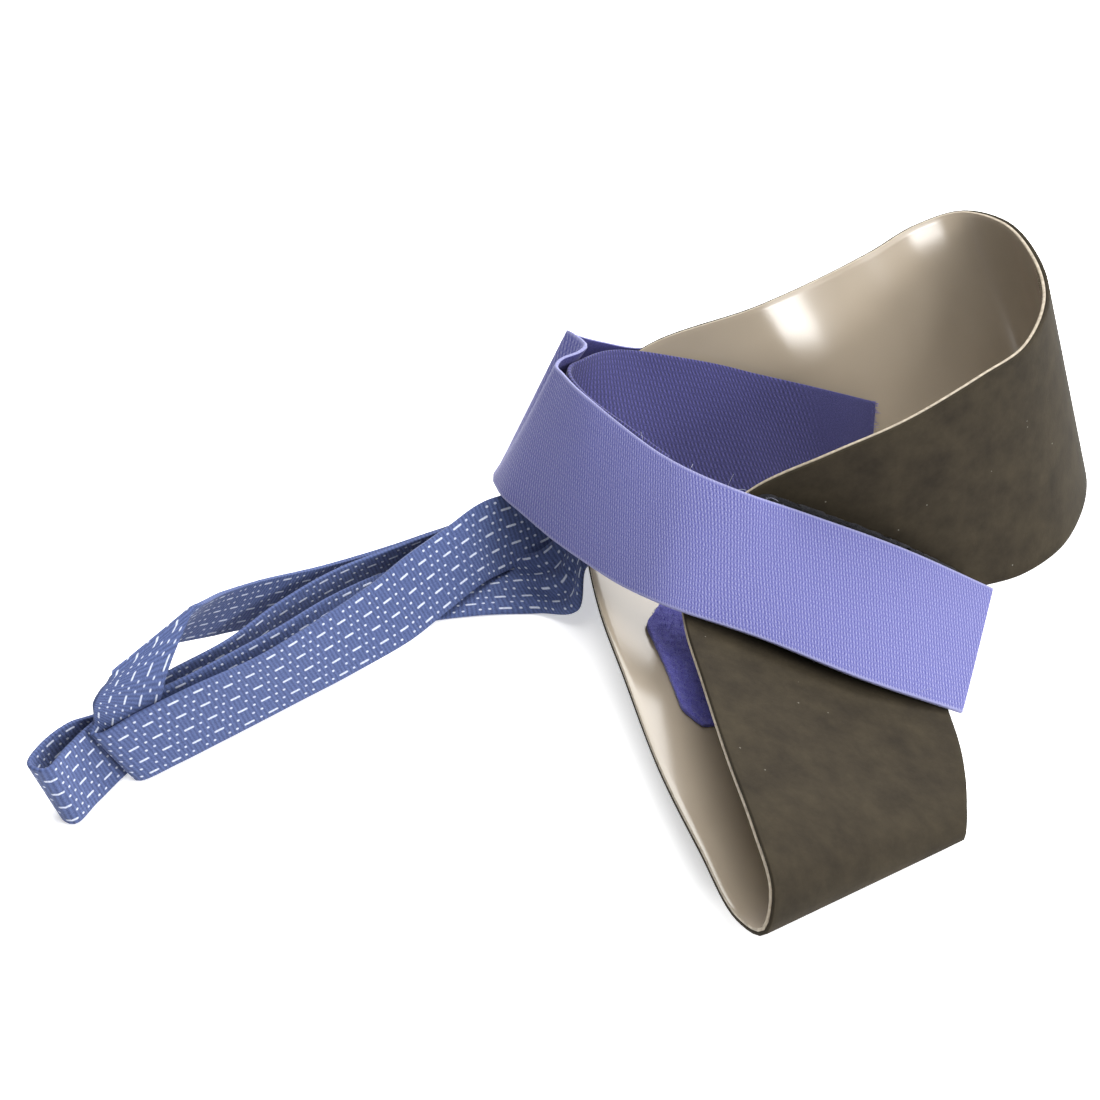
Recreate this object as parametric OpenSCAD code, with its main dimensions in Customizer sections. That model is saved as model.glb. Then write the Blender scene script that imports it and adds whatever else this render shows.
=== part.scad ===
// Sock aid: a springy band bent into a two-lobed ring, closed by a touch-fastening strap,
// with a looped webbing pull. It stands on the band's back edge, with the pull lying to the left.

/* [Band] */
// Thickness of the slick inner liner
liner_t = 1.1; // [0.8:0.1:1.4]
// Thickness of the grip layer outside it
grip_t = 1.3; // [0.9:0.1:1.6]

/* [Straps] */
// Thickness of the hook and pile straps
strap_t = 1.3; // [0.9:0.1:1.5]
// Thickness of the pile pad and the pile patch on the band
pad_t = 1.2; // [0.8:0.1:1.4]

/* [Pull webbing] */
// Thickness of the webbing
webbing_t = 1.3; // [0.9:0.1:1.4]

/* [Stitching] */
// Thickness of the sewing thread
thread_d = 0.8; // [0.6:0.1:1]

/* [Hidden] */
// Middle of the aid in plan, and its lowest level, on the grid that the points below are given on
plan_centre = [16, 6.7, 0.2];
// Sections made between two neighbouring points of an edge
band_steps = 4;
ribbon_steps = 3;
// Small gap between pieces that lie on each other
rest_gap = 0.25;
// Distance between two layers of webbing sewn on each other, and of the first one from the curved band
layer_pitch = 1.9;
sewn_gap = 1.1;
// Thickness of the tape over the band's seam
tape_t = 0.5;
// Height of the bars of stitching over the middle of their layer
tack_low = webbing_t / 2 + 0.5;
// Width of a bar of stitching, as a share of the band's width
tack_w = 0.02;

// Each row is one straight line across the band: its point on the front edge, then on the back edge.
// The rows run along the far wall, round the upper lobe, down the near wall and round the lower lobe.
BAND = [
    [[31, 95, 56], [96, 76, 2]],     [[70, 103, 68], [120, 81, 2]],   [[109, 129, 71], [153, 104, 1]],
    [[127, 142, 74], [166, 114, 1]], [[143, 146, 77], [176, 116, 1]], [[156, 135, 80], [183, 111, 1]],
    [[163, 112, 82], [187, 101, 1]], [[163, 87, 83], [187, 89, 1]],   [[154, 65, 81], [183, 74, 1]],
    [[138, 49, 81], [174, 56, 2]],   [[112, 33, 75], [159, 41, 3]],   [[88, 25, 68], [145, 33, 5]],
    [[64, 23, 55], [134, 28, 7]],    [[48, 15, 43], [126, 20, 8]],    [[42, -1, 37], [123, 0, 7]],
    [[42, -18, 35], [125, -24, 6]],  [[46, -44, 37], [127, -43, 7]],  [[52, -80, 40], [127, -58, 8]],
    [[58, -109, 41], [126, -69, 9]], [[62, -127, 36], [125, -76, 9]], [[60, -133, 26], [124, -80, 6]],
    [[53, -121, 18], [122, -75, 3]], [[44, -94, 16], [119, -62, 2]],  [[33, -61, 16], [114, -44, 2]],
    [[23, -25, 20], [106, -24, 2]],  [[16, 1, 23], [98, -3, 2]],      [[12, 25, 27], [93, 20, 2]],
    [[11, 47, 32], [90, 43, 2]],     [[12, 70, 38], [89, 64, 2]],     [[18, 87, 46], [91, 74, 3]]
];

// Points through which each strap and webbing run passes: top edge, then bottom edge.
HOOK_END = [
    [[145, 20, 15], [130, -29, 7]], [[113, 19, 34], [97, -29, 22]],
    [[80, 17, 51], [65, -22, 33]],  [[61, 18, 58.5], [43, -17, 38.5]]
];
HOOK_WRAP = [
    [[60, 18, 59], [42, -17, 39]],  [[47, 24, 61], [33, -12, 39]],  [[35, 33, 62], [22, -1, 36]],
    [[22, 46, 64], [9, 15, 33]],    [[14, 54, 66], [0, 27, 31]],    [[8, 61, 67], [-10, 42, 29]],
    [[4, 68, 67], [-16, 51, 28]],   [[2, 72, 67], [-18, 57, 27]],   [[4, 76, 67], [-19, 61, 26]],
    [[9, 79, 67], [-19, 64, 25]],   [[12, 83, 67], [-19, 67, 24]],  [[9, 88, 67], [-18, 70, 23]],
    [[6, 91, 67], [-17, 73, 22]],   [[9, 95, 62], [-12, 79, 20]],   [[18, 99, 56], [2, 84, 13]],
    [[32, 101, 52], [26, 88, 7]],   [[48, 102, 57], [56, 91, 10]],  [[62, 105, 60], [80, 89, 16]]
];
PILE_STRAP = [
    [[112, 95, 33], [109, 71, 5]],  [[100, 92, 39], [103, 69, 6]],  [[85, 90, 45], [96, 67, 7]],
    [[70, 89, 50], [86, 64, 11]],   [[57, 89, 54], [73, 61, 17]],   [[44, 89, 57], [56, 58, 22]],
    [[28, 89, 60], [36, 57, 29]],   [[18, 86, 62], [17, 58, 37]],   [[11, 79, 64], [2, 59, 38]],
    [[7, 74, 65], [-5, 55, 36]],    [[7, 69, 65], [-7, 51, 34]],    [[11, 62, 64], [-3, 43, 33]],
    [[17, 55, 63], [5, 31, 33]],    [[25, 47, 62], [13, 18, 35]],   [[38, 34, 60], [26, 1, 38]]
];
LONG_LOOP = [
    [[-16, 46, 5], [-4, 23, 1]],       [[-27, 42, 5], [-23, 22, 1]],      [[-48, 34, 12], [-45, 17, 1]],
    [[-70, 12, 20], [-63, 1, 1]],      [[-89, -9, 23], [-80, -11, 1]],    [[-111, -28, 24], [-103, -30, 1]],
    [[-125, -38, 24], [-116, -38, 1]], [[-138, -47, 23], [-128, -45, 1]], [[-146, -60, 24], [-139, -61, 1]],
    [[-151, -70, 25], [-145, -70, 1]], [[-156, -68, 25], [-149, -67, 1]], [[-154, -59, 24], [-147, -57, 1]],
    [[-147, -50, 24], [-140, -47, 1]], [[-138, -43, 22], [-130, -38, 1]], [[-122, -28, 22], [-115, -26, 1]],
    [[-103, -12, 22], [-97, -10, 1]],  [[-88, 5, 22], [-82, 7, 1]],       [[-69, 22, 22], [-64, 25, 1]],
    [[-51, 34, 21], [-46, 39, 1]],     [[-36, 43, 20], [-33, 50, 1]],     [[-25, 49, 18], [-23, 57, 1]]
];
SHORT_LOOP = [
    [[-22, 52, 25], [-14, 40, 5]],      [[-34, 39, 25], [-23, 32, 6]],      [[-46, 26, 25], [-35, 20, 4]],
    [[-57, 13, 24], [-46, 9, 2]],       [[-74, -5, 24], [-65, -6, 1]],      [[-90, -20, 24], [-81, -18, 1]],
    [[-111, -36, 25], [-104, -36, 1]],  [[-126, -46, 24], [-116, -45, 1]],  [[-138, -54, 23], [-127, -52, 1]],
    [[-140, -53, 24], [-129, -51, 1]],  [[-139, -51, 25], [-127, -49, 2]],  [[-138, -51, 33], [-122, -41, 16]],
    [[-136, -48, 36], [-118, -36, 31]], [[-134, -45, 37], [-111, -19, 41]], [[-133, -43, 38], [-110, -17, 42]],
    [[-132, -41, 37], [-108, -15, 41]], [[-122, -22, 29], [-103, 0, 32]],   [[-106, 0, 14], [-93, 12, 26]],
    [[-84, 20, 3], [-74, 25, 20]],      [[-58, 46, 1], [-54, 40, 15]],      [[-42, 61, 1], [-38, 49, 14]],
    [[-31, 66, 1], [-28, 54, 13]]
];
// Space between a run of the pull and its sewn end
lift_gap = [[0.6, 0, 0], [0.6, 0, 0]];

function row_gap(a, b) = sqrt((norm(b[0] - a[0]) + norm(b[1] - a[1])) / 2);
function pick(rows, i, closed) = closed ? rows[(i + len(rows)) % len(rows)]
                                        : rows[min(max(i, 0), len(rows) - 1)];
// Slope of the curve at row i, weighed by how far its neighbours are
function slope(rows, i, closed) =
    let (a = pick(rows, i - 1, closed), b = pick(rows, i, closed), c = pick(rows, i + 1, closed),
         before = row_gap(a, b), after = row_gap(b, c))
    before == 0 ? (c - b) / after
    : after == 0 ? (b - a) / before
    : (before * (c - b) / after + after * (b - a) / before) / (before + after);
function hermite(p, q, m, n, s) =
    (2 * s ^ 3 - 3 * s ^ 2 + 1) * p + (s ^ 3 - 2 * s ^ 2 + s) * m
    + (3 * s ^ 2 - 2 * s ^ 3) * q + (s ^ 3 - s ^ 2) * n;
// Row of a smooth sheet at position u, counted in rows
function row_at(rows, u, closed) =
    let (i = floor(u), s = u - i, p = pick(rows, i, closed), q = pick(rows, i + 1, closed), gap = row_gap(p, q))
    s == 0 ? p : hermite(p, q, slope(rows, i, closed) * gap, slope(rows, i + 1, closed) * gap, s);
function smooth_rows(rows, steps, closed) =
    [for (k = [0 : (len(rows) - (closed ? 0 : 1)) * steps - (closed ? 1 : 0)]) row_at(rows, k / steps, closed)];
function unit(v) = v / norm(v);
// Normal of the sheet at one edge of row k: it points to the side that the rows turn away from
function edge_normal(rows, k, edge, closed) =
    unit(cross(pick(rows, k + 1, closed)[edge] - pick(rows, k - 1, closed)[edge], rows[k][1] - rows[k][0]));

// Solid between two offsets of a sheet given by its rows, with each row cut into columns
module sheet_solid(rows, low, high, closed = false, columns = 2) {
    count = len(rows);
    ring = 2 * (columns + 1);
    points = [for (k = [0 : count - 1])
              let (a = edge_normal(rows, k, 0, closed), b = edge_normal(rows, k, 1, closed))
              each [for (i = [0 : ring - 1])
                    let (s = (i <= columns ? i : ring - 1 - i) / columns)
                    rows[k][0] * (1 - s) + rows[k][1] * s + unit(a * (1 - s) + b * s) * (i <= columns ? low : high)]];
    strips = [for (k = [0 : count - (closed ? 1 : 2)], i = [0 : ring - 1])
              let (n = ((k + 1) % count) * ring, a = k * ring + i, b = k * ring + (i + 1) % ring,
                   c = n + (i + 1) % ring, d = n + i)
              each i > columns && i < ring - 1 ? [[a, d, c], [a, c, b]] : [[a, d, b], [b, d, c]]];
    last = (count - 1) * ring;
    ends = closed ? [] : [for (j = [0 : columns - 1])
                          let (p = j, q = j + 1, r = ring - 2 - j, s = ring - 1 - j)
                          each [[p, q, r], [p, r, s],
                                [last + r, last + q, last + p], [last + s, last + r, last + p]]];
    polyhedron(points, concat(strips, ends));
}
module placed() translate(-plan_centre) children();

BAND_ROWS = smooth_rows(BAND, band_steps, true);
// Point on the band at row position u and share v of the way from the front to the back edge
function band_point(u, v) = let (row = row_at(BAND, u, true)) row[0] + (row[1] - row[0]) * v;
// Point at height h over that place, on the grip side
function over_band(u, v, h) =
    band_point(u, v)
    + unit(cross(band_point(u + 0.1, v) - band_point(u - 0.1, v), band_point(u, 1) - band_point(u, 0))) * h;
// Rows of a patch at height h over the band: each end gives its row positions and shares of the band's width
function patch_rows(ends, steps, h) =
    [for (e = [0 : len(ends) - 2], k = [e == 0 ? 0 : 1 : steps])
        let (m = ends[e] + (ends[e + 1] - ends[e]) * k / steps)
        [over_band(m[0][0], m[0][1], h), over_band(m[1][0], m[1][1], h)]];
// A piece of sheet that lies on the band, on its grip side or on its liner side
module band_patch(ends, steps, thick, on_grip) {
    h = on_grip ? grip_t + rest_gap + thick / 2 : -liner_t - rest_gap - thick / 2;
    placed() sheet_solid(patch_rows(ends, steps, h), -thick / 2, thick / 2, columns = 4);
}

// Height of the middle of a sewn layer of webbing over the band
function layer_h(layer) = grip_t + webbing_t / 2 + sewn_gap + layer * layer_pitch;
// Last rows of a sewn end: it comes up under the band and lies flat on it from row position a to b
function sewn_rows(a, b, layer) =
    [for (place = [[0.03, 4 + layer], [0.15, 0.4], [0.28, 0]])
        [over_band(a, place[0], layer_h(layer) + place[1]), over_band(b, place[0], layer_h(layer) + place[1])]];
// The sewn ends of the webbing: each carries one run on, twists and lies flat on the band
ROOT_ENDS = [
    concat([SHORT_LOOP[0] + lift_gap, [[-3, 62, 25], [3, 44, 12]]], sewn_rows(28.1, 27.1, 0)),
    concat([LONG_LOOP[0] + lift_gap, [[-3, 42, 12], [9, 17, 8]]], sewn_rows(26.9, 26, 0)),
    concat([LONG_LOOP[20] + lift_gap, [[-2, 53, 15], [0, 66, 10]]], sewn_rows(27.1, 28.1, 1)),
    concat([SHORT_LOOP[21] + lift_gap, [[-6, 70, 3], [-5, 57, 8]]], sewn_rows(28.1, 27.1, 2))
];

module liner_band() color("#b8ac9c") placed() sheet_solid(BAND_ROWS, -liner_t, 0, true, columns = 3);
module grip_band() color("#504b42") placed() sheet_solid(BAND_ROWS, 0, grip_t, true, columns = 3);
module band_seam_tape() color("#3c3a36") band_patch([[[2.4, 0.03], [2.4, 0.97]], [[3.2, 0.03], [3.2, 0.97]]], 3, tape_t, true);
module outer_pile_pad() color("#1f1f26")
    band_patch([[[11.25, 0.84], [11.25, 0.93]], [[11.95, 0.04], [11.95, 0.94]],
                [[14.6, 0.04], [14.6, 0.95]], [[15.1, 0.8], [15.1, 0.95]]], 6, pad_t, true);
module inner_pile_patch() color("#40409a")
    band_patch([[[23.42, 0.22], [23.6, 0.62]], [[23.6, 0.17], [23.75, 0.72]],
                [[24.85, 0.165], [24.85, 0.72]], [[25.3, 0.25], [25.3, 0.64]]], 3, pad_t, false);
module strap_sheet(rows) placed() sheet_solid(smooth_rows(rows, ribbon_steps, false), -strap_t / 2, strap_t / 2);
module webbing_sheet(rows) placed() sheet_solid(smooth_rows(rows, ribbon_steps, false), -webbing_t / 2, webbing_t / 2);
module hook_strap_wrap() color("#6d6dc4") strap_sheet(HOOK_WRAP);
module hook_strap_end() color("#8e8ecf") strap_sheet(HOOK_END);
module pile_strap() color("#40409a") strap_sheet(PILE_STRAP);
module long_pull_loop() color("#4a5aa5") webbing_sheet(LONG_LOOP);
module short_pull_loop() color("#4a5aa5") webbing_sheet(SHORT_LOOP);
module pull_root_ends() color("#4a5aa5") for (rows = ROOT_ENDS) webbing_sheet(rows);
// Dense bars of stitching across the lowest sewn layer of each pair of ends
module pull_bar_tacks() color("#2c3c80")
    for (bar = [[27.2, 28, 2], [26.1, 26.8, 0]], v = [0.2, 0.25])
        placed() sheet_solid([for (k = [0 : 4])
                              let (u = bar[0] + (bar[1] - bar[0]) * k / 4)
                              [over_band(u, v, layer_h(bar[2])), over_band(u, v + tack_w, layer_h(bar[2]))]],
                             tack_low, tack_low + thread_d, columns = 1);

liner_band();
grip_band();
band_seam_tape();
outer_pile_pad();
inner_pile_patch();
hook_strap_wrap();
hook_strap_end();
pile_strap();
long_pull_loop();
short_pull_loop();
pull_root_ends();
pull_bar_tacks();
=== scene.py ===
import bisect
import math
import random
import bmesh
import bpy
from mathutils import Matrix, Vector


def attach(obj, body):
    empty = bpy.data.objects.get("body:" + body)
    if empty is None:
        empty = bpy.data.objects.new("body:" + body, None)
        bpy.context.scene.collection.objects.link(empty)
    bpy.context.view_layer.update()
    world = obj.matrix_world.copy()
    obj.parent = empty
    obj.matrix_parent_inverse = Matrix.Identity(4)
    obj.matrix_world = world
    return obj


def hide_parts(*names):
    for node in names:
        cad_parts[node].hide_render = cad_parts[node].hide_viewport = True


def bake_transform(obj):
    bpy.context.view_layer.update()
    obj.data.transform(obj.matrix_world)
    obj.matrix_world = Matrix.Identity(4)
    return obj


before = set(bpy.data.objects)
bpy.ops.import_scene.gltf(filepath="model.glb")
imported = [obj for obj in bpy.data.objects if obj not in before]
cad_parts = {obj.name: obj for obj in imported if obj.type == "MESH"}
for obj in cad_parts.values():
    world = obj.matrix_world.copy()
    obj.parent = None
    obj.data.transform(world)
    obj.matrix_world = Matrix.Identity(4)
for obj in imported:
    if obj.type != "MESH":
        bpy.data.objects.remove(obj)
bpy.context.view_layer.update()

# %% [markdown]
# ## The camera
# The rows below are given in millimetres on the maker's own grid. PLAN_CENTRE takes them to the frame,
# whose origin is under the middle of the object. A long lens 0.8 m away, looking down at 42 degrees,
# shows the inside of both lobes and keeps the perspective mild.
# %% Camera
MM = 0.001
PLAN_CENTRE = Vector((16, 6.7, 0.2))
VIEW_TARGET = (Vector((0, 0, 50)) - PLAN_CENTRE) * MM
VIEW_DISTANCE = 0.8125
VIEW_DOWN = math.radians(42)
camera = bpy.data.objects.new("camera", bpy.data.cameras.new("camera"))
camera.data.lens = 85.09
camera.data.clip_start = 0.05
camera.location = VIEW_TARGET + VIEW_DISTANCE * Vector((0, -math.cos(VIEW_DOWN), math.sin(VIEW_DOWN)))
camera.rotation_euler = (math.pi / 2 - VIEW_DOWN, 0, 0)
bpy.context.scene.collection.objects.link(camera)
bpy.context.scene.camera = camera
print("camera at", tuple(round(c, 3) for c in camera.location))

# %% [markdown]
# ## The routes
# Each row is one straight line across a strip: a point on its first edge, then one on its second.
# A strip needs only the rows where its shape changes, because a smooth curve is drawn through them.
# The band runs along the far wall, round the upper lobe, down the near wall and round the lower lobe.
# %% Route of the band
BAND = [
    [[31, 95, 56], [96, 76, 2]],     [[70, 103, 68], [120, 81, 2]],   [[109, 129, 71], [153, 104, 1]],
    [[127, 142, 74], [166, 114, 1]], [[143, 146, 77], [176, 116, 1]], [[156, 135, 80], [183, 111, 1]],
    [[163, 112, 82], [187, 101, 1]], [[163, 87, 83], [187, 89, 1]],   [[154, 65, 81], [183, 74, 1]],
    [[138, 49, 81], [174, 56, 2]],   [[112, 33, 75], [159, 41, 3]],   [[88, 25, 68], [145, 33, 5]],
    [[64, 23, 55], [134, 28, 7]],    [[48, 15, 43], [126, 20, 8]],    [[42, -1, 37], [123, 0, 7]],
    [[42, -18, 35], [125, -24, 6]],  [[46, -44, 37], [127, -43, 7]],  [[52, -80, 40], [127, -58, 8]],
    [[58, -109, 41], [126, -69, 9]], [[62, -127, 36], [125, -76, 9]], [[60, -133, 26], [124, -80, 6]],
    [[53, -121, 18], [122, -75, 3]], [[44, -94, 16], [119, -62, 2]],  [[33, -61, 16], [114, -44, 2]],
    [[23, -25, 20], [106, -24, 2]],  [[16, 1, 23], [98, -3, 2]],      [[12, 25, 27], [93, 20, 2]],
    [[11, 47, 32], [90, 43, 2]],     [[12, 70, 38], [89, 64, 2]],     [[18, 87, 46], [91, 74, 3]],
]
print("band rows", len(BAND))

# %% [markdown]
# The hook strap is given in two lengths: its free end, HOOK_END, and the rest. Where
# the straps turn over, the rows stand close together.
# %% Routes of the straps
HOOK_END = [
    [[145, 20, 15], [130, -29, 7]], [[113, 19, 34], [97, -29, 22]],
    [[80, 17, 51], [65, -22, 33]],  [[61, 18, 58.5], [43, -17, 38.5]],
]
HOOK_WRAP = [
    [[47, 24, 61], [33, -12, 39]],  [[35, 33, 62], [22, -1, 36]],
    [[22, 46, 64], [9, 15, 33]],    [[14, 54, 66], [0, 27, 31]],    [[8, 61, 67], [-10, 42, 29]],
    [[4, 68, 67], [-16, 51, 28]],   [[2, 72, 67], [-18, 57, 27]],   [[4, 76, 67], [-19, 61, 26]],
    [[9, 79, 67], [-19, 64, 25]],   [[12, 83, 67], [-19, 67, 24]],  [[9, 88, 67], [-18, 70, 23]],
    [[6, 91, 67], [-17, 73, 22]],   [[9, 95, 62], [-12, 79, 20]],   [[18, 99, 56], [2, 84, 13]],
    [[32, 101, 52], [26, 88, 7]],   [[48, 102, 57], [56, 91, 10]],  [[62, 105, 60], [80, 89, 16]],
]
PILE_STRAP = [
    [[112, 95, 33], [109, 71, 5]],  [[100, 92, 39], [103, 69, 6]],  [[85, 90, 45], [96, 67, 7]],
    [[70, 89, 50], [86, 64, 11]],   [[57, 89, 54], [73, 61, 17]],   [[44, 89, 57], [56, 58, 22]],
    [[28, 89, 60], [36, 57, 29]],   [[18, 86, 62], [17, 58, 37]],   [[11, 79, 64], [2, 59, 38]],
    [[7, 74, 65], [-5, 55, 36]],    [[7, 69, 65], [-7, 51, 34]],    [[11, 62, 64], [-3, 43, 33]],
    [[17, 55, 63], [5, 31, 33]],    [[25, 47, 62], [13, 18, 35]],   [[38, 34, 60], [26, 1, 38]],
]
print("strap rows", {"hook": len(HOOK_END + HOOK_WRAP), "loop": len(PILE_STRAP)})

# %% [markdown]
# Each webbing route starts near the band, runs out to the far fold and comes back beside itself. The
# webbing stands on its edge, so one edge is near the table and the other about 23 mm above it.
# %% Routes of the webbing
LONG_LOOP = [
    [[-16, 46, 5], [-4, 23, 1]],       [[-27, 42, 5], [-23, 22, 1]],      [[-48, 34, 12], [-45, 17, 1]],
    [[-70, 12, 20], [-63, 1, 1]],      [[-89, -9, 23], [-80, -11, 1]],    [[-111, -28, 24], [-103, -30, 1]],
    [[-125, -38, 24], [-116, -38, 1]], [[-138, -47, 23], [-128, -45, 1]], [[-146, -60, 24], [-139, -61, 1]],
    [[-151, -70, 25], [-145, -70, 1]], [[-156, -68, 25], [-149, -67, 1]], [[-154, -59, 24], [-147, -57, 1]],
    [[-147, -50, 24], [-140, -47, 1]], [[-138, -43, 22], [-130, -38, 1]], [[-122, -28, 22], [-115, -26, 1]],
    [[-103, -12, 22], [-97, -10, 1]],  [[-88, 5, 22], [-82, 7, 1]],       [[-69, 22, 22], [-64, 25, 1]],
    [[-51, 34, 21], [-46, 39, 1]],     [[-36, 43, 20], [-33, 50, 1]],     [[-25, 49, 18], [-23, 57, 1]],
]
SHORT_LOOP = [
    [[-22, 52, 25], [-14, 40, 5]],      [[-34, 39, 25], [-23, 32, 6]],      [[-46, 26, 25], [-35, 20, 4]],
    [[-57, 13, 24], [-46, 9, 2]],       [[-74, -5, 24], [-65, -6, 1]],      [[-90, -20, 24], [-81, -18, 1]],
    [[-111, -36, 25], [-104, -36, 1]],  [[-126, -46, 24], [-116, -45, 1]],  [[-138, -54, 23], [-127, -52, 1]],
    [[-140, -53, 24], [-129, -51, 1]], [[-139, -51, 25], [-127, -49, 2]], [[-138, -51, 33], [-122, -41, 16]],
    [[-136, -48, 36], [-118, -36, 31]], [[-134, -45, 37], [-111, -19, 41]], [[-133, -43, 38], [-110, -17, 42]],
    [[-132, -41, 37], [-108, -15, 41]], [[-122, -22, 29], [-103, 0, 32]],   [[-106, 0, 14], [-93, 12, 26]],
    [[-84, 20, 3], [-74, 25, 20]],      [[-58, 46, 1], [-54, 40, 15]],      [[-42, 61, 1], [-38, 49, 14]],
    [[-31, 66, 1], [-28, 54, 13]],
]
print("rows", {"long loop": len(LONG_LOOP), "short loop": len(SHORT_LOOP)})

# %% [markdown]
# ## A smooth curve through the rows
# A Catmull-Rom curve passes through every row. Its slopes are weighed by the distance between rows, so
# that a tight fold next to a long straight run doesn't loop or overshoot.
# %% Curve through rows


def as_vectors(rows):
    return [[Vector(point) for point in row] for row in rows]


def row_gap(a, b):
    """Square root of the mean distance between two rows: the curve's own measure of length."""
    return math.sqrt(((b[0] - a[0]).length + (b[1] - a[1]).length) / 2)


def pick(rows, i, closed):
    """Row i; a ring starts again after its last row, and an open strip repeats its end rows."""
    return rows[i % len(rows)] if closed else rows[min(max(i, 0), len(rows) - 1)]


def slope(rows, i, closed):
    """The curve's direction at row i, per unit of row_gap, for each edge."""
    a, b, c = (pick(rows, i + k, closed) for k in (-1, 0, 1))
    before, after = row_gap(a, b), row_gap(b, c)
    if before == 0:
        return [(c[e] - b[e]) / after for e in (0, 1)]
    if after == 0:
        return [(b[e] - a[e]) / before for e in (0, 1)]
    return [
        (before * (c[e] - b[e]) / after + after * (b[e] - a[e]) / before) / (before + after) for e in (0, 1)
    ]


def row_at(rows, u, closed=False):
    """The row at position u, counted in rows."""
    i = math.floor(u)
    s = u - i
    p, q = pick(rows, i, closed), pick(rows, i + 1, closed)
    if s == 0:
        return list(p)
    gap = row_gap(p, q)
    m, n = slope(rows, i, closed), slope(rows, i + 1, closed)
    return [
        (2 * s**3 - 3 * s**2 + 1) * p[e]
        + (s**3 - 2 * s**2 + s) * gap * m[e]
        + (3 * s**2 - 2 * s**3) * q[e]
        + (s**3 - s**2) * gap * n[e]
        for e in (0, 1)
    ]


BAND_ROWS = as_vectors(BAND)


def over_band(u, v, height):
    """Point at a height over the band's middle surface, on its grip side."""
    def spot(du, dv):
        row = row_at(BAND_ROWS, (u + du) % len(BAND_ROWS), True)
        return row[0].lerp(row[1], v + dv)
    across = spot(0, 0.5) - spot(0, -0.5)
    return spot(0, 0) + (spot(0.1, 0) - spot(-0.1, 0)).cross(across).normalized() * height


print("the band's rim is at", tuple(round(c) for c in over_band(7, 0, 0)))

# %% [markdown]
# ## Colours and material nodes
# Colours are picked as sRGB hex and turned linear by one function. One helper adds any node, with its
# settings and what feeds it, and gives back its output, so that a material reads as a short recipe.
# %% Node helpers


def colour(hex_text):
    parts = [int(hex_text[i : i + 2], 16) / 255 for i in (1, 3, 5)]
    return tuple(c / 12.92 if c <= 0.04045 else ((c + 0.055) / 1.055) ** 2.4 for c in parts) + (1,)


def feed(tree, node, feeds):
    """Links what is a socket and fills in what is a plain value."""
    for name, value in feeds.items():
        if isinstance(value, bpy.types.NodeSocket):
            tree.links.new(value, node.inputs[name])
        else:
            node.inputs[name].default_value = value


def add(tree, kind, feeds, out=0, stops=(), **settings):
    """Adds one node with its feeds, settings and colour stops (position, sRGB hex); returns an output."""
    node = tree.nodes.new("ShaderNode" + kind)
    for name, value in settings.items():
        setattr(node, name, value)
    for index, (position, hex_text) in enumerate(stops):
        if index > 1:
            node.color_ramp.elements.new(1)
        node.color_ramp.elements[index].position = position
        node.color_ramp.elements[index].color = colour(hex_text)
    feed(tree, node, feeds)
    return node.outputs[out]


def new_material(name, **constants):
    """A material with its Principled shader, whose constant values are set on its own sockets."""
    material = bpy.data.materials.new(name)
    material.use_nodes = True
    shader = material.node_tree.nodes["Principled BSDF"]
    for socket, value in constants.items():
        shader.inputs[socket.replace("_", " ")].default_value = value
    return material, material.node_tree, shader


print("helpers ready")

# %% [markdown]
# ## Laminate
# The band is two sheets glued together. The inner one is a slick polyolefin sheet, taupe and fairly
# glossy, so that the sock slides; its cut edge shows paler. The outer one is a matt fine-cell foam that
# grips the sock: nearly black, faintly mottled, with a little lint caught in it. Noise scales are in
# cells per metre, so 1400 makes a grain of about 0.7 mm.
# %% Liner and grip materials


def slick_sheet():
    """Smooth extruded sheet: even colour with slow clouds, and a barely rough surface."""
    material, tree, shader = new_material("slick_polyolefin_sheet", Roughness=0.2, IOR=1.5)
    place = add(tree, "TexCoord", {}, "Object")
    cloud = add(tree, "TexNoise", {"Vector": place, "Scale": 18, "Detail": 3})
    grain = add(tree, "TexNoise", {"Vector": place, "Scale": 1400, "Detail": 2})
    feed(tree, shader, {
        "Base Color": add(tree, "ValToRGB", {"Fac": cloud}, stops=((0.3, "#8d8272"), (0.7, "#978c7c"))),
        "Normal": add(tree, "Bump", {"Height": grain, "Distance": 0.02 * MM, "Strength": 0.5}),
    })
    return material


def cut_edge():
    """The knife-cut edge of the sheet: paler than its face, dull and finely nicked."""
    material, tree, shader = new_material("cut_edge_of_sheet", Roughness=0.6, IOR=1.5)
    place = add(tree, "TexCoord", {}, "Object")
    nicks = add(tree, "TexNoise", {"Vector": place, "Scale": 700, "Detail": 3})
    feed(tree, shader, {
        "Base Color": add(tree, "ValToRGB", {"Fac": nicks}, stops=((0.3, "#7d7262"), (0.7, "#a29784"))),
        "Normal": add(tree, "Bump", {"Height": nicks, "Distance": 0.05 * MM, "Strength": 1}),
    })
    return material


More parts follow.
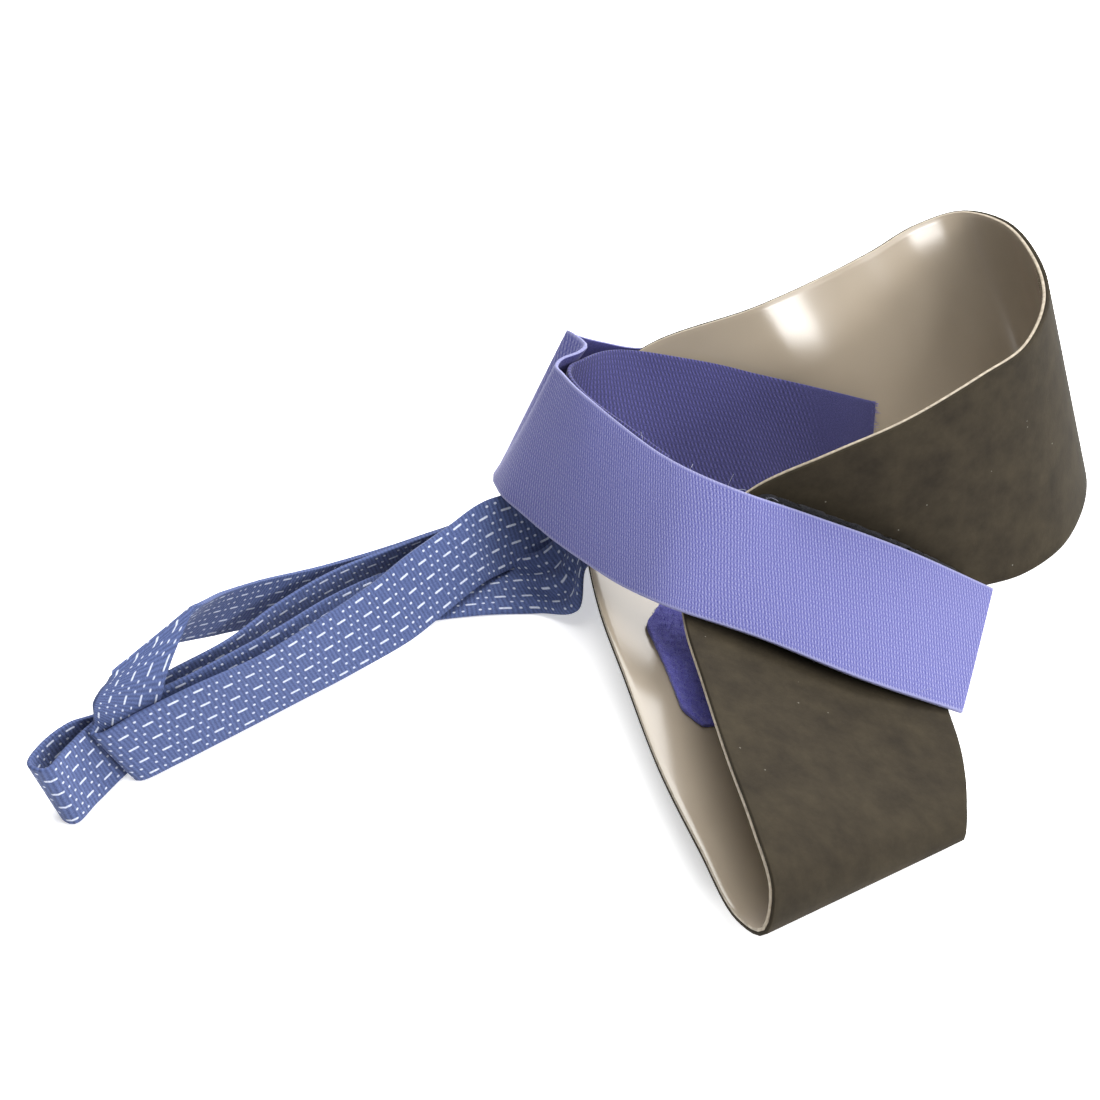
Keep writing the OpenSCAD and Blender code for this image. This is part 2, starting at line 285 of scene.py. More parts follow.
def grip_foam():
    """Fine-cell foam: matt, brown-black and mottled, with pale lint caught in its pores."""
    material, tree, shader = new_material("grip_foam", Roughness=0.85, IOR=1.45, Specular_IOR_Level=0.15)
    place = add(tree, "TexCoord", {}, "Object")
    mottle = add(tree, "TexNoise", {"Vector": place, "Scale": 90, "Detail": 5, "Roughness": 0.65})
    base = add(tree, "ValToRGB", {"Fac": mottle}, stops=((0.3, "#231e16"), (0.7, "#312b20")))
    # Lint: a few pale specks about half a millimetre across, one to a 9 mm cell at most
    cells = add(tree, "TexVoronoi", {"Vector": place, "Scale": 110}, "Distance")
    fleck = add(tree, "Math", {0: cells, 1: 0.03}, operation="LESS_THAN")
    pores = add(tree, "TexNoise", {"Vector": place, "Scale": 1100, "Detail": 3})
    feed(tree, shader, {
        "Base Color": add(tree, "MixRGB", {"Fac": fleck, "Color1": base, "Color2": colour("#5f5b52")}),
        "Normal": add(tree, "Bump", {"Height": pores, "Distance": 0.06 * MM, "Strength": 0.8}),
    })
    return material


SLICK = slick_sheet()
EDGE = cut_edge()
GRIP = grip_foam()
print("laminate", [m.name for m in (SLICK, EDGE, GRIP)])

# %% [markdown]
# ## Tape
# Cloth needs a pattern that follows the strip, so these materials read the strip's own UV map, which is
# in millimetres: U runs along the strip and V across it. The straps are nylon tape, with ribs across
# them that lean a little and break up into beads. The tape's edges are bound by paler threads.
# %% Strap materials
STRAP_WIDTH = 50
BRUSHED_FADE = 10


def strap_cloth(name, dark, middle, light, rib_pitch, rib_lean, depth, selvedge, brushed_end=0):
    """Nylon tape; the first brushed_end mm have no ribs, and selvedge is how pale the edges are."""
    material, tree, shader = new_material(
        name, Roughness=0.8, IOR=1.5, Sheen_Weight=0.15, Sheen_Roughness=0.5)
    flat = add(tree, "UVMap", {}, uv_map="strip")
    along = add(tree, "SeparateXYZ", {"Vector": flat}, "X")
    across = add(tree, "SeparateXYZ", {"Vector": flat}, "Y")
    wobble = add(tree, "TexNoise", {"Vector": flat, "Scale": 0.35, "Detail": 2})
    leaning = add(tree, "Math", {0: across, 1: rib_lean, 2: along}, operation="MULTIPLY_ADD")
    wandering = add(tree, "Math", {0: wobble, 1: 0.8, 2: leaning}, operation="MULTIPLY_ADD")
    rib_turn = add(tree, "Math", {0: wandering, 1: 2 * math.pi / rib_pitch}, operation="MULTIPLY")
    rib = add(tree, "Math", {0: rib_turn}, operation="SINE")
    # The knit's loops break each rib into beads a little longer than they are wide
    bead_turn = add(tree, "Math", {0: across, 1: 2 * math.pi / (1.6 * rib_pitch)}, operation="MULTIPLY")
    bead = add(tree, "Math", {0: bead_turn}, operation="SINE")
    knot = add(tree, "Math", {0: rib, 1: bead}, operation="MULTIPLY")
    low_rib = add(tree, "Math", {0: rib, 1: 0.16}, operation="MULTIPLY")
    woven = add(tree, "Math", {0: knot, 1: 0.12, 2: low_rib}, operation="MULTIPLY_ADD")
    ribbed = add(tree, "MapRange", {
        "Value": along,
        "From Min": brushed_end - 0.8 * BRUSHED_FADE,
        "From Max": brushed_end + 0.2 * BRUSHED_FADE,
    })
    fuzz = add(tree, "TexNoise", {"Vector": flat, "Scale": 2.2, "Detail": 4, "Roughness": 0.75})
    level = add(tree, "Math", {0: woven, 1: ribbed, 2: fuzz}, operation="MULTIPLY_ADD")
    cloth = add(tree, "ValToRGB", {"Fac": level}, stops=((0.2, dark), (0.5, middle), (0.78, light)))
    from_middle = add(tree, "Math", {0: across, 1: STRAP_WIDTH / 2}, operation="SUBTRACT")
    off_middle = add(tree, "Math", {0: from_middle}, operation="ABSOLUTE")
    bound = add(tree, "MapRange", {
        "Value": off_middle,
        "From Min": STRAP_WIDTH / 2 - 1.2,
        "From Max": STRAP_WIDTH / 2 - 0.5,
        "To Max": selvedge,
    })
    feed(tree, shader, {
        "Base Color": add(tree, "MixRGB", {"Fac": bound, "Color1": cloth, "Color2": colour(light)}),
        "Normal": add(tree, "Bump", {"Height": level, "Distance": depth * MM, "Strength": 0.8}),
    })
    return material


def pile_cloth(name, dark, light, sheen):
    """Brushed loop pile: a tangle of fibres about half a millimetre across."""
    material, tree, shader = new_material(
        name, Roughness=0.95, IOR=1.5, Sheen_Weight=sheen, Sheen_Roughness=0.6)
    place = add(tree, "TexCoord", {}, "Object")
    tangle = add(tree, "TexNoise", {
        "Vector": place, "Scale": 1100, "Detail": 4, "Roughness": 0.7, "Distortion": 1.5})
    feed(tree, shader, {
        "Base Color": add(tree, "ValToRGB", {"Fac": tangle}, stops=((0.3, dark), (0.72, light))),
        "Normal": add(tree, "Bump", {"Height": tangle, "Distance": 0.35 * MM, "Strength": 1}),
    })
    return material


HOOK_CLOTH = strap_cloth("periwinkle_nylon_tape", "#323478", "#51528a", "#7b7ca2", 1.05, 0.35, 0.2, 0.8)
PILE_CLOTH = strap_cloth("violet_loop_tape", "#121138", "#201f54", "#3c3a7a", 1.4, 0.08, 0.25, 0,
                         brushed_end=24)
HOOK_FACE = pile_cloth("violet_hook_face", "#1c1b4e", "#37357c", 0.1)
VIOLET_PILE = pile_cloth("violet_loop_pile", "#2f2e88", "#6260bc", 0.3)
BLACK_PILE = pile_cloth("black_loop_pile", "#08080c", "#17171f", 0.05)
print("tapes", [m.name for m in (HOOK_CLOTH, PILE_CLOTH, HOOK_FACE, VIOLET_PILE, BLACK_PILE)])

# %% [markdown]
# ## Webbing
# The pull is blue ribbed webbing. Eight lines of white yarn run along it, mostly hidden inside the weave:
# each line surfaces as two dashes, then as single and paired dots, and repeats after 36 mm. Every
# second line is shifted by half of that. The distance to the nearest dash or dot draws them all.
# %% Webbing material
WEB_WIDTH = 25
RIB_PITCH = 1.42
LINE_COUNT = 8
LINE_PITCH = 3.0
PATTERN_LENGTH = 36.0
YARN_EDGE = 0.5
YARN_CORE = 0.22
DASH_REACH = 1.4
DOT_REACH = 0.1
DASHES = (0, 8.4)
DOTS = (4.2, 12.7, 15.4, 20.8, 23.8, 29.2, 32.1)


def webbing_cloth():
    """Ribbed polyester webbing with floating white yarn."""
    material, tree, shader = new_material("dashed_webbing", Roughness=0.8, IOR=1.5, Sheen_Weight=0.08)
    flat = add(tree, "UVMap", {}, uv_map="strip")
    along = add(tree, "SeparateXYZ", {"Vector": flat}, "X")
    across = add(tree, "SeparateXYZ", {"Vector": flat}, "Y")
    # Which line of yarn this is, and how far its middle is
    margin = (WEB_WIDTH - LINE_COUNT * LINE_PITCH) / 2
    inside = add(tree, "Math", {0: across, 1: margin}, operation="SUBTRACT")
    lines = add(tree, "Math", {0: inside, 1: LINE_PITCH}, operation="DIVIDE")
    line_share = add(tree, "Math", {0: lines}, operation="FRACT")
    from_yarn = add(tree, "Math", {0: line_share, 1: 0.5}, operation="SUBTRACT")
    off_line = add(tree, "Math", {0: from_yarn, 1: LINE_PITCH}, operation="MULTIPLY")
    line_number = add(tree, "Math", {0: lines}, operation="FLOOR")
    odd_line = add(tree, "Math", {0: line_number, 1: 2}, operation="FLOORED_MODULO")
    # How far along the pattern this is, and how far from the nearest mark
    shifted = add(tree, "Math", {0: odd_line, 1: PATTERN_LENGTH / 2, 2: along}, operation="MULTIPLY_ADD")
    phase = add(tree, "Math", {0: shifted, 1: PATTERN_LENGTH}, operation="FLOORED_MODULO")
    marks = [(place, DASH_REACH) for place in DASHES + (PATTERN_LENGTH,)]
    marks += [(place, DOT_REACH) for place in DOTS]
    nearest = PATTERN_LENGTH
    for place, reach in marks:
        offset = add(tree, "Math", {0: phase, 1: place}, operation="SUBTRACT")
        distance = add(tree, "Math", {0: offset}, operation="ABSOLUTE")
        gap = add(tree, "Math", {0: distance, 1: reach}, operation="SUBTRACT")
        nearest = add(tree, "Math", {0: nearest, 1: gap}, operation="MINIMUM")
    past_end = add(tree, "Math", {0: nearest, 1: 0}, operation="MAXIMUM")
    off_line_squared = add(tree, "Math", {0: off_line, 1: off_line}, operation="MULTIPLY")
    past_squared = add(tree, "Math", {0: past_end, 1: past_end}, operation="MULTIPLY")
    away_squared = add(tree, "Math", {0: past_squared, 1: off_line_squared}, operation="ADD")
    away = add(tree, "Math", {0: away_squared}, operation="SQRT")
    yarn = add(tree, "MapRange", {"Value": away, "From Min": YARN_EDGE, "From Max": YARN_CORE})
    rib_turn = add(tree, "Math", {0: along, 1: 2 * math.pi / RIB_PITCH}, operation="MULTIPLY")
    rib = add(tree, "Math", {0: rib_turn}, operation="SINE")
    fuzz = add(tree, "TexNoise", {"Vector": flat, "Scale": 1.6, "Detail": 4, "Roughness": 0.75})
    level = add(tree, "Math", {0: rib, 1: 0.13, 2: fuzz}, operation="MULTIPLY_ADD")
    raised = add(tree, "Math", {0: yarn, 1: 0.7, 2: level}, operation="MULTIPLY_ADD")
    blue_stops = ((0.2, "#222d4e"), (0.5, "#374673"), (0.8, "#4c5c8a"))
    blue = add(tree, "ValToRGB", {"Fac": level}, stops=blue_stops)
    white = add(tree, "ValToRGB", {"Fac": fuzz}, stops=((0.3, "#98a1bd"), (0.7, "#d0d5e0")))
    feed(tree, shader, {
        "Base Color": add(tree, "MixRGB", {"Fac": yarn, "Color1": blue, "Color2": white}),
        "Normal": add(tree, "Bump", {"Height": raised, "Distance": 0.25 * MM, "Strength": 1}),
    })
    return material


WEBBING = webbing_cloth()
print("webbing pattern repeats every", PATTERN_LENGTH, "mm")

# %% [markdown]
# ## Laying a strip
# Every strip starts as a flat grid of the right number of cells, made by create_grid. Its UV map is
# filled with true millimetres while it is flat. Then each vertex moves to its place along the route,
# the ends of a ring are welded, and a Solidify modifier gives the strip its thickness. The rim of the
# thickness can take another material, as a cut edge does. Last, the modifiers are applied, because a
# piece that bends across a joint needs its final mesh.
# %% Lay a strip
SAMPLES_PER_ROW = 24
FEWEST_ACROSS = 8
WELD_DISTANCE = 0.02 * MM
SHARP_ANGLE = math.radians(50)


def arc_table(rows, closed):
    """Positions along the rows, and the length reached at each."""
    count = (len(rows) if closed else len(rows) - 1) * SAMPLES_PER_ROW
    places = [k / SAMPLES_PER_ROW for k in range(count + 1)]
    found = [row_at(rows, u % len(rows) if closed else u, closed) for u in places]
    middles = [(row[0] + row[1]) / 2 for row in found]
    reached = [0.0]
    for a, b in zip(middles, middles[1:]):
        reached.append(reached[-1] + (b - a).length)
    return places, reached


def place_at(places, reached, distance):
    """The row position that lies that far along the route."""
    k = min(max(bisect.bisect_left(reached, distance), 1), len(places) - 1)
    share = (distance - reached[k - 1]) / max(reached[k] - reached[k - 1], 1e-9)
    return places[k - 1] + (places[k] - places[k - 1]) * share


def lay_strip(name, rows, width, cell, closed=False, lift=None):
    """A flat grid laid along rows; lift(along, share) moves it off its route, in millimetres."""
    places, reached = arc_table(rows, closed)
    length = reached[-1]
    bm = bmesh.new()
    along_cells = round(length / cell)
    across_cells = max(round(width / cell), FEWEST_ACROSS)
    bmesh.ops.create_grid(bm, x_segments=along_cells, y_segments=across_cells, size=0.5)
    uv = bm.loops.layers.uv.new("strip")
    for face in bm.faces:
        for loop in face.loops:
            spot = loop.vert.co
            loop[uv].uv = ((spot.x + 0.5) * length, (spot.y + 0.5) * width)
    shares = {}
    for vertex in bm.verts:
        along = (vertex.co.x + 0.5) * length
        share = vertex.co.y + 0.5
        shares[vertex] = (along, share)
        u = place_at(places, reached, along)
        row = row_at(rows, u % len(rows) if closed else u, closed)
        vertex.co = (row[0].lerp(row[1], share) - PLAN_CENTRE) * MM
    bm.normal_update()
    if lift:
        for vertex, (along, share) in shares.items():
            vertex.co += vertex.normal * lift(along, share) * MM
    if closed:
        bmesh.ops.remove_doubles(bm, verts=bm.verts, dist=WELD_DISTANCE)
    for face in bm.faces:
        face.smooth = True
    mesh = bpy.data.meshes.new(name)
    bm.to_mesh(mesh)
    bm.free()
    obj = bpy.data.objects.new(name, mesh)
    bpy.context.scene.collection.objects.link(obj)
    obj["length_mm"] = length
    return obj


def thicken(obj, thickness, side, materials, edge_round):
    """Gives a strip its thickness, on one side (1 or -1) or both (0), and rounded edges; applies both."""
    for material in materials:
        obj.data.materials.append(material)
    solid = obj.modifiers.new("thickness", "SOLIDIFY")
    solid.thickness = thickness * MM
    solid.offset = side
    # With three materials they are the face, the back and the rim; with one, all are the same
    solid.material_offset = 1 if len(materials) > 2 else 0
    solid.material_offset_rim = len(materials) - 1
    rounding = obj.modifiers.new("edges", "BEVEL")
    rounding.width = edge_round * MM
    rounding.segments = 2
    rounding.limit_method = "ANGLE"
    rounding.angle_limit = SHARP_ANGLE
    graph = bpy.context.evaluated_depsgraph_get()
    final = bpy.data.meshes.new_from_object(obj.evaluated_get(graph))
    obj.modifiers.clear()
    obj.data = final
    print(obj.name, len(final.polygons), "faces,", round(obj["length_mm"]), "mm long")
    return obj


# %% [markdown]
# ## The band
# The liner and the grip share one middle surface. Its normals point to the grip side, so the liner
# grows inwards from it and the grip outwards, and the two can't drift apart.
# %% Band
BAND_WIDTH = 86
BAND_CELL = 2.2
LINER_T = 1.1
GRIP_T = 1.3
CRISP_EDGE = 0.22
SOFT_EDGE = 0.35
liner = lay_strip("liner_sheet", BAND_ROWS, BAND_WIDTH, BAND_CELL, closed=True)
thicken(liner, LINER_T, -1, [SLICK, SLICK, EDGE], CRISP_EDGE)
grip = lay_strip("grip_sheet", BAND_ROWS, BAND_WIDTH, BAND_CELL, closed=True)
thicken(grip, GRIP_T, 1, [GRIP, GRIP, GRIP], SOFT_EDGE)
for piece, node, slot_name in ((liner, "liner_band", "liner"), (grip, "grip_band", "grip")):
    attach(piece, "band")
    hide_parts(node)

# %% [markdown]
# ## Patches on the band
# The seam tape, the black pile pad and the violet pile patch lie on the band, so their rows are places
# on it: positions along it, shares of its width, and a height over it.
# %% Patches


def patch_rows(ends, steps, height):
    """Rows at a height over the band, with steps rows from each given row to the next."""
    rows = []
    for a, b in zip(ends, ends[1:]):
        for k in range(0 if not rows else 1, steps + 1):
            mix = [[a[e][c] + (b[e][c] - a[e][c]) * k / steps for c in (0, 1)] for e in (0, 1)]
            rows.append([over_band(mix[e][0], mix[e][1], height) for e in (0, 1)])
    return rows


REST_GAP = 0.25
PAD_T = 1.2
TAPE_T = 0.5
PILE_EDGE = 0.3
TAPE_EDGE = 0.15
NAP_DEPTH = 0.22
EDGE_DROP = 0.35
EDGE_STEEPNESS = 12
BLACK_PAD_WIDTH = 78
VIOLET_PATCH_WIDTH = 46
SEAM_TAPE_LENGTH = 80
BLACK_PAD_ENDS = [
    [[11.25, 0.84], [11.25, 0.93]],
    [[11.95, 0.04], [11.95, 0.94]],
    [[14.6, 0.04], [14.6, 0.95]],
    [[15.1, 0.8], [15.1, 0.95]],
]
VIOLET_PATCH_ENDS = [
    [[23.42, 0.22], [23.6, 0.62]],
    [[23.6, 0.17], [23.75, 0.72]],
    [[24.85, 0.165], [24.85, 0.72]],
    [[25.3, 0.25], [25.3, 0.64]],
]
SEAM_TAPE_ENDS = [
    [[2.4, 0.03], [2.4, 0.97]],
    [[3.2, 0.03], [3.2, 0.97]],
]
chance = random.Random(11)


def nap(along, share):
    """Uneven brushed surface, lower at the patch's edges."""
    rim = min(share, 1 - share) * EDGE_STEEPNESS
    return chance.uniform(-NAP_DEPTH, NAP_DEPTH) - EDGE_DROP * max(0, 1 - rim)


black_pad_rows = patch_rows(BLACK_PAD_ENDS, steps=6, height=GRIP_T + REST_GAP + PAD_T / 2)
outer_pad = lay_strip("black_pile_pad", black_pad_rows, BLACK_PAD_WIDTH, cell=1.1, lift=nap)
thicken(outer_pad, PAD_T, 0, [BLACK_PILE], PILE_EDGE)
violet_patch_rows = patch_rows(VIOLET_PATCH_ENDS, steps=3, height=-LINER_T - REST_GAP - PAD_T / 2)
violet_patch = lay_strip("violet_pile_patch", violet_patch_rows, VIOLET_PATCH_WIDTH, cell=0.8, lift=nap)
thicken(violet_patch, PAD_T, 0, [VIOLET_PILE], PILE_EDGE)
seam_tape_rows = patch_rows(SEAM_TAPE_ENDS, steps=3, height=GRIP_T + REST_GAP + TAPE_T / 2)
seam_tape = lay_strip("seam_tape", seam_tape_rows, SEAM_TAPE_LENGTH, cell=2)
thicken(seam_tape, TAPE_T, 0, [BLACK_PILE], TAPE_EDGE)
for piece, node, slot_name in ((outer_pad, "outer_pile_pad", "black_pile"),
                               (violet_patch, "inner_pile_patch", "violet_pile"),
                               (seam_tape, "band_seam_tape", "seam_tape")):
    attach(piece, "band")
    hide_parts(node)

# %% [markdown]
# ## The straps
# The hook strap runs from its free end on the near wall, round the left side, through an S-shaped fold
# and away behind the far wall. Its end peels off; the strap is one mesh that runs across that
# joint. The loop strap lines the inside of the far wall and turns back inside the hook strap.
# %% Straps
STRAP_T = 1.3
STRAP_CELL = 1.6
WAVE_HEIGHT = 0.25
EDGE_CURL = 0.25
hook_rows = as_vectors(HOOK_END + HOOK_WRAP)


def soft_tape(along, share):
    """Tape is never quite flat: a slow wave along it and a slight curl at its edges."""
    wave = WAVE_HEIGHT * math.sin(along / 17) * math.sin(math.pi * share)
    return wave - EDGE_CURL * (2 * share - 1) ** 4


hook_strap = lay_strip("hook_strap", hook_rows, STRAP_WIDTH, STRAP_CELL, lift=soft_tape)
thicken(hook_strap, STRAP_T, 0, [HOOK_CLOTH, HOOK_FACE, HOOK_CLOTH], SOFT_EDGE)
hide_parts("hook_strap_wrap", "hook_strap_end")
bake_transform(hook_strap)

pile_strap = lay_strip("loop_strap", as_vectors(PILE_STRAP), STRAP_WIDTH, STRAP_CELL, lift=soft_tape)
thicken(pile_strap, STRAP_T, 0, [PILE_CLOTH, PILE_CLOTH, PILE_CLOTH], SOFT_EDGE)
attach(pile_strap, "band")
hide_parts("pile_strap")

# %% [markdown]
# ## The pull
# Each loop is one length of webbing: sewn end, run, fold, run, sewn end. The sewn ends lie in layers
# on the grip side of the band, at its left. The long loop is gathered there, so it puckers lengthwise.
# %% Webbing loops
WEB_T = 1.3
WEB_CELL = 1.3
SEWN_GAP = 1.1
LAYER_PITCH = 1.9
PUCKER_HEIGHT = 0.9
PUCKER_MIDDLE = 42
PUCKER_REACH = 34
SLACK_WAVE = 0.2


def sewn_rows(a, b, layer):
    """Rows of a sewn end, from the band's front edge inwards, between row positions a and b."""
    height = GRIP_T + WEB_T / 2 + SEWN_GAP + layer * LAYER_PITCH
    return [[over_band(u, v, height + lower) for u in (a, b)]
            for v, lower in ((0.03, 4 + layer), (0.15, 0.4), (0.28, 0))]


def whole_loop(start_middle, start, run, end_middle, end):
    """Rows from one sewn end, through the run, to the other sewn end."""
    first = list(reversed(as_vectors([start_middle]) + start))
    return first + as_vectors(run) + as_vectors([end_middle]) + end


def pucker(along, share):
    """Lengthwise gathers near the first sewn end, which fade out along the run."""
    fade = max(0, 1 - abs(along - PUCKER_MIDDLE) / PUCKER_REACH)
    return PUCKER_HEIGHT * fade * math.sin(share * 5 * math.pi) + SLACK_WAVE * math.sin(along / 9)


def ease(along, share):
    """Slack webbing: a low wave along it and edges that curl slightly."""
    return SLACK_WAVE * math.sin(along / 11) - SLACK_WAVE * (2 * share - 1) ** 4


short_rows = whole_loop([[-3, 62, 25], [3, 44, 12]], sewn_rows(28.1, 27.1, 0), SHORT_LOOP,
                        [[-6, 70, 3], [-5, 57, 8]], sewn_rows(28.1, 27.1, 2))
long_rows = whole_loop([[-3, 42, 12], [9, 17, 8]], sewn_rows(26.9, 26, 0), LONG_LOOP,
                       [[-2, 53, 15], [0, 66, 10]], sewn_rows(27.1, 28.1, 1))
short_loop = lay_strip("short_pull_webbing", short_rows, WEB_WIDTH, WEB_CELL, lift=ease)
long_loop = lay_strip("long_pull_webbing", long_rows, WEB_WIDTH, WEB_CELL, lift=pucker)
for piece, nodes in ((short_loop, ["short_pull_loop", "pull_root_ends"]), (long_loop, ["long_pull_loop"])):
    thicken(piece, WEB_T, 0, [WEBBING, WEBBING, WEBBING], SOFT_EDGE)
    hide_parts(*nodes)
    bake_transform(piece)

# %% Bars of stitching


def thread():
    """Twisted polyester thread, a shade darker than the webbing."""
    material, tree, shader = new_material("bonded_sewing_thread", Roughness=0.7, IOR=1.5)
    place = add(tree, "TexCoord", {}, "Object")
    twist = add(tree, "TexNoise", {"Vector": place, "Scale": 900, "Detail": 3})
    feed(tree, shader, {
        "Base Color": add(tree, "ValToRGB", {"Fac": twist}, stops=((0.3, "#1c2750"), (0.7, "#34467e"))),
        "Normal": add(tree, "Bump", {"Height": twist, "Distance": 0.1 * MM, "Strength": 1}),
    })
    return material


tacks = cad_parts["pull_bar_tacks"]
tacks.data.materials.clear()
tacks.data.materials.append(thread())
print("stitching keeps its CAD mesh,", len(tacks.data.polygons), "faces")

# %% [markdown]
# ## Fibres
# Pile is not a flat colour up close: short fibres stand out of it, and they give its edge a soft outline.
# Each fibre is a three-sided spike, cheap enough to use by the thousand. The loop strap's cut end frays,
# and a few long hairs cling to the touch-fastening parts, as they always do.
# %% Fibre tools
TIP_TAPER = 0.3
ROOT_DEPTH = 0.2
SHORTEST = 0.5
LEAN = 0.8


def spike(bm, root, tip, radius):
    """One tapering fibre between two points, all in millimetres on the maker's grid."""
    start = (root - PLAN_CENTRE) * MM
    end = (tip - PLAN_CENTRE) * MM
    wide = radius * MM
    made = bmesh.ops.create_cone(
        bm, cap_ends=False, segments=3, radius1=wide, radius2=wide * TIP_TAPER, depth=(end - start).length)
    turn = Vector((0, 0, 1)).rotation_difference(end - start)
    for vertex in made["verts"]:
        vertex.co = turn @ vertex.co + (start + end) / 2


def any_way():
    """A random vector inside a cube of side 2."""
    return Vector((chance.uniform(-1, 1), chance.uniform(-1, 1), chance.uniform(-1, 1)))


def fibres_to_piece(bm, name, material):
    """Makes the fibres one piece that rides the band."""
    mesh = bpy.data.meshes.new(name)
    bm.to_mesh(mesh)
    bm.free()
    mesh.materials.append(material)
    obj = bpy.data.objects.new(name, mesh)
    bpy.context.scene.collection.objects.link(obj)
    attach(obj, "band")
    print(name, len(mesh.polygons), "faces")


def patch_nap(count, across, along, height, side, length, radius):
    """Fibres on a patch of the band; along(v) gives its first and last row position at share v."""
    bm = bmesh.new()
    for _ in range(count):
        v = chance.uniform(*across)
        low, high = along(v)
        u = chance.uniform(low, high)
        root = over_band(u, v, side * height)
        rise = over_band(u, v, side * (height + length)) - root
        tip = root + rise * chance.uniform(SHORTEST, 1) + any_way() * length * LEAN
        spike(bm, root - rise * ROOT_DEPTH, tip, radius)
    return bm


print("one fibre has 3 sides and no ends")

# %% [markdown]
# The violet patch is covered all over. The black pad needs fibres only along its two short sides, where
# they show against the grip.
# %% Nap of the pile patches
VIOLET_FIBRES = 2600
VIOLET_ACROSS = (0.19, 0.7)
PAD_FIBRES = 600
PAD_ACROSS = (0.04, 0.93)


def violet_along(v):
    """The violet patch narrows towards both of its long edges."""
    first = 23.46 + 0.5 * max(v - 0.55, 0) + 0.4 * max(0.3 - v, 0)
    last = 25.2 - 1.6 * max(v - 0.6, 0) - 1.6 * max(0.26 - v, 0)
    return first, last


def pad_top(v):
    """A narrow belt along the pad's edge towards the upper lobe."""
    return 11.9 - 0.72 * v, 12.15 - 0.72 * v


def pad_low(v):
    """A narrow belt along the pad's edge towards the lower lobe."""
    return 14.45 + 0.45 * v, 14.7 + 0.45 * v


violet_height = LINER_T + REST_GAP + PAD_T - 0.1
violet_nap = patch_nap(VIOLET_FIBRES, VIOLET_ACROSS, violet_along, violet_height, -1, 1.0, 0.09)
fibres_to_piece(violet_nap, "violet_pile_nap", VIOLET_PILE)
pad_height = GRIP_T + REST_GAP + PAD_T - 0.3
for name, side_of_pad in (("pad_top_nap", pad_top), ("pad_low_nap", pad_low)):
    pad_nap = patch_nap(PAD_FIBRES, PAD_ACROSS, side_of_pad, pad_height, 1, 1.1, 0.08)
    fibres_to_piece(pad_nap, name, BLACK_PILE)

# %% [markdown]
# The loop strap was cut across without a hem, so yarn ends stick out of it.
# %% Frayed end of the loop strap
FRAYED_FIBRES = 500
FRAY_DEPTH = 3
FIBRE_RADIUS = 0.09
frayed = bmesh.new()
pile_rows = as_vectors(PILE_STRAP)
end_way = (pile_rows[0][0] - pile_rows[1][0]).normalized()
for _ in range(FRAYED_FIBRES):
    share = chance.random()
    root = pile_rows[0][0].lerp(pile_rows[0][1], share) - end_way * chance.uniform(0, FRAY_DEPTH)
    tip = root + end_way * chance.uniform(0.6, 2.4) + any_way() * 0.9
    spike(frayed, root, tip, FIBRE_RADIUS)
fibres_to_piece(frayed, "loop_strap_fray", VIOLET_PILE)

# %% [markdown]
# Loose hairs start at the edges of the black pad and of the hook strap, at the row positions below.
# %% Loose hairs
HAIR_RADIUS = 0.06
HAIR_PARTS = 9
HAIR_HEIGHT = 2.4
PAD_HAIRS = (
    (11.95, 0.05), (11.9, 0.12), (11.75, 0.35), (11.7, 0.45), (11.5, 0.6), (11.3, 0.8), (11.25, 0.85),
    (15.0, 0.4), (15.05, 0.44), (15.1, 0.48), (15.15, 0.6), (15.15, 0.85), (15.15, 0.9),
)
STRAP_HAIRS = (2.6, 2.9, 3.3, 4.2, 4.7, 5.4)


def hair(bm, root, way, length):
    """A long loose hair: a chain of spikes that wanders as it goes."""
    bend = any_way() * 0.5
    for _ in range(HAIR_PARTS):
        way = (way + bend * 0.45 + any_way() * 0.12).normalized()
        tip = root + way * length / HAIR_PARTS
        spike(bm, root, tip, HAIR_RADIUS)
        root = tip


def lint():
    """Pale grey house dust and hair."""
    material, tree, shader = new_material("loose_lint", Roughness=0.6, IOR=1.5)
    feed(tree, shader, {"Base Color": colour("#9a9cae")})
    return material


hairs = bmesh.new()
for u, v in PAD_HAIRS:
    rise = over_band(u, v, 5) - over_band(u, v, 4)
    hair(hairs, over_band(u, v, HAIR_HEIGHT), rise + any_way(), chance.uniform(4, 9))
for u in STRAP_HAIRS:
    edge = row_at(hook_rows, u)[0]
    hair(hairs, edge, Vector((0, 0, 1)) + any_way(), chance.uniform(4, 8))
fibres_to_piece(hairs, "loose_hairs", lint())

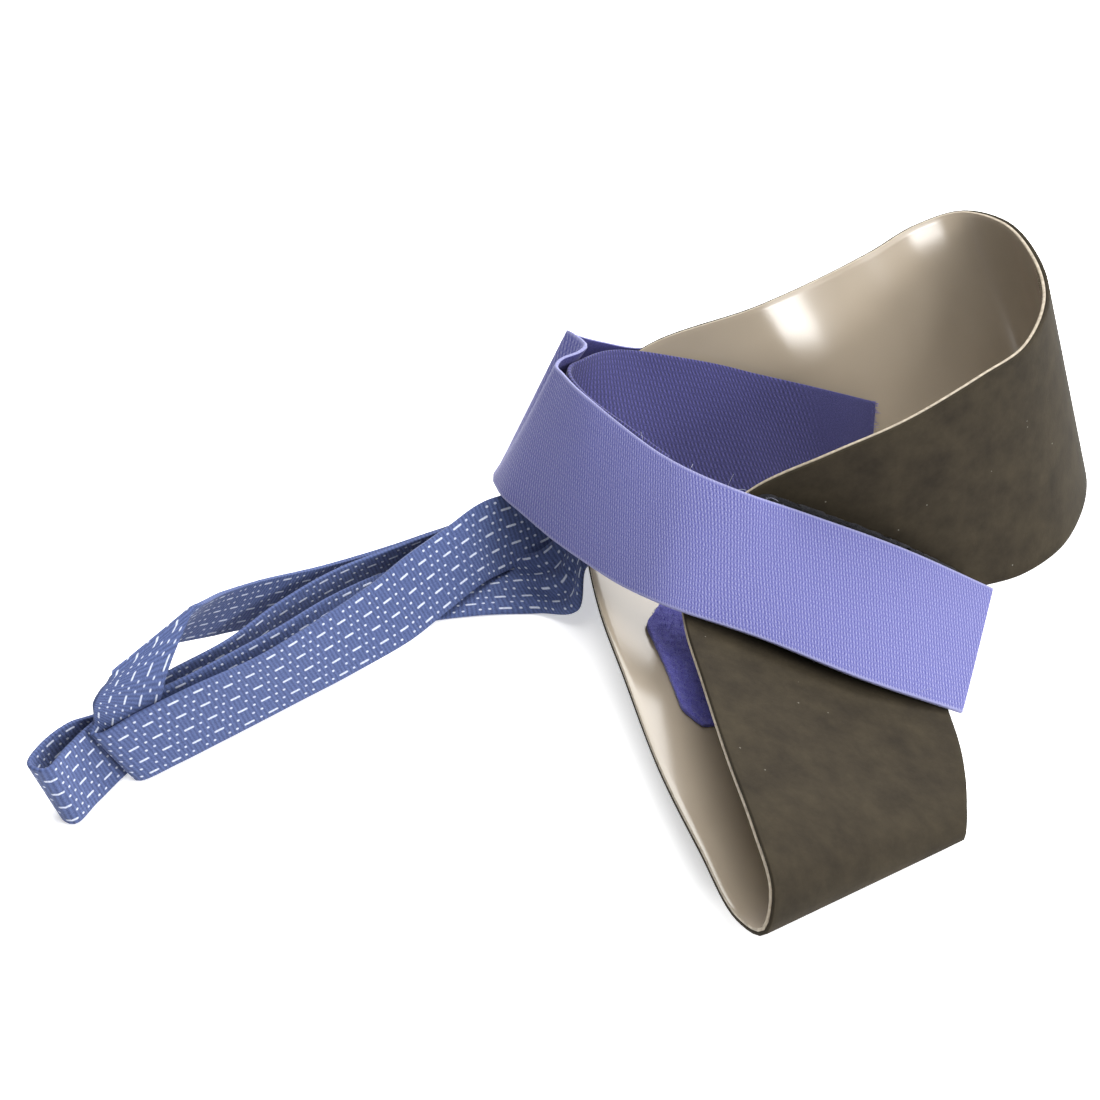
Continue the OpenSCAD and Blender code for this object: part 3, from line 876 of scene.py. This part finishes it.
# %% [markdown]
# ## Floor and light
# The object stands on white paper that glows a little, so that its shadows stay faint. A large panel
# above and behind gives the light its main direction, and two weaker ones, in front at the right and
# overhead, fill in. A low window-shaped panel at the right makes the soft highlight on the slick liner.
# %% Stage and lights
FLOOR_HALF = 3
PAPER_GLOW = 0.5
SKY_STRENGTH = 0.28


def stage_paper():
    """White paper with a faint glow of its own."""
    material, tree, shader = new_material("white_paper", Roughness=0.9)
    feed(tree, shader, {
        "Base Color": colour("#f4f4f4"),
        "Emission Color": colour("#ffffff"),
        "Emission Strength": PAPER_GLOW,
    })
    return material


floor_mesh = bpy.data.meshes.new("floor")
bm = bmesh.new()
bmesh.ops.create_grid(bm, x_segments=1, y_segments=1, size=FLOOR_HALF)
bm.to_mesh(floor_mesh)
bm.free()
floor_mesh.materials.append(stage_paper())
floor = bpy.data.objects.new("floor", floor_mesh)
bpy.context.scene.collection.objects.link(floor)


def panel(name, place, aim, size, power):
    """A soft rectangular light; place and aim in metres, size as width and height, power in watts."""
    data = bpy.data.lights.new(name, "AREA")
    data.shape = "RECTANGLE"
    data.size = size[0]
    data.size_y = size[1]
    data.energy = power
    light = bpy.data.objects.new(name, data)
    light.location = place
    light.visible_camera = False
    light.rotation_euler = (Vector(aim) - Vector(place)).to_track_quat("-Z", "Y").to_euler()
    bpy.context.scene.collection.objects.link(light)


panel("back_panel", (0.5, 0.95, 1.05), (0.03, -0.02, 0.03), (1.5, 1.0), 40)
panel("front_panel", (1.1, -0.6, 1.0), (0, 0, 0.03), (0.9, 0.9), 13)
panel("top_panel", (0.0, 0.1, 1.4), (0, 0, 0.03), (0.9, 0.9), 15)
panel("window_panel", (1.0, -0.7, 0.52), (0.06, 0.1, 0.07), (0.55, 0.26), 10)
world = bpy.data.worlds.new("sky")
world.use_nodes = True
sky = world.node_tree.nodes["Background"]
sky.inputs["Color"].default_value = (1, 1, 1, 1)
sky.inputs["Strength"].default_value = SKY_STRENGTH
bpy.context.scene.world = world
bpy.context.scene.view_settings.view_transform = "Standard"
print("lights ready")

# %% Last update
bpy.context.view_layer.update()
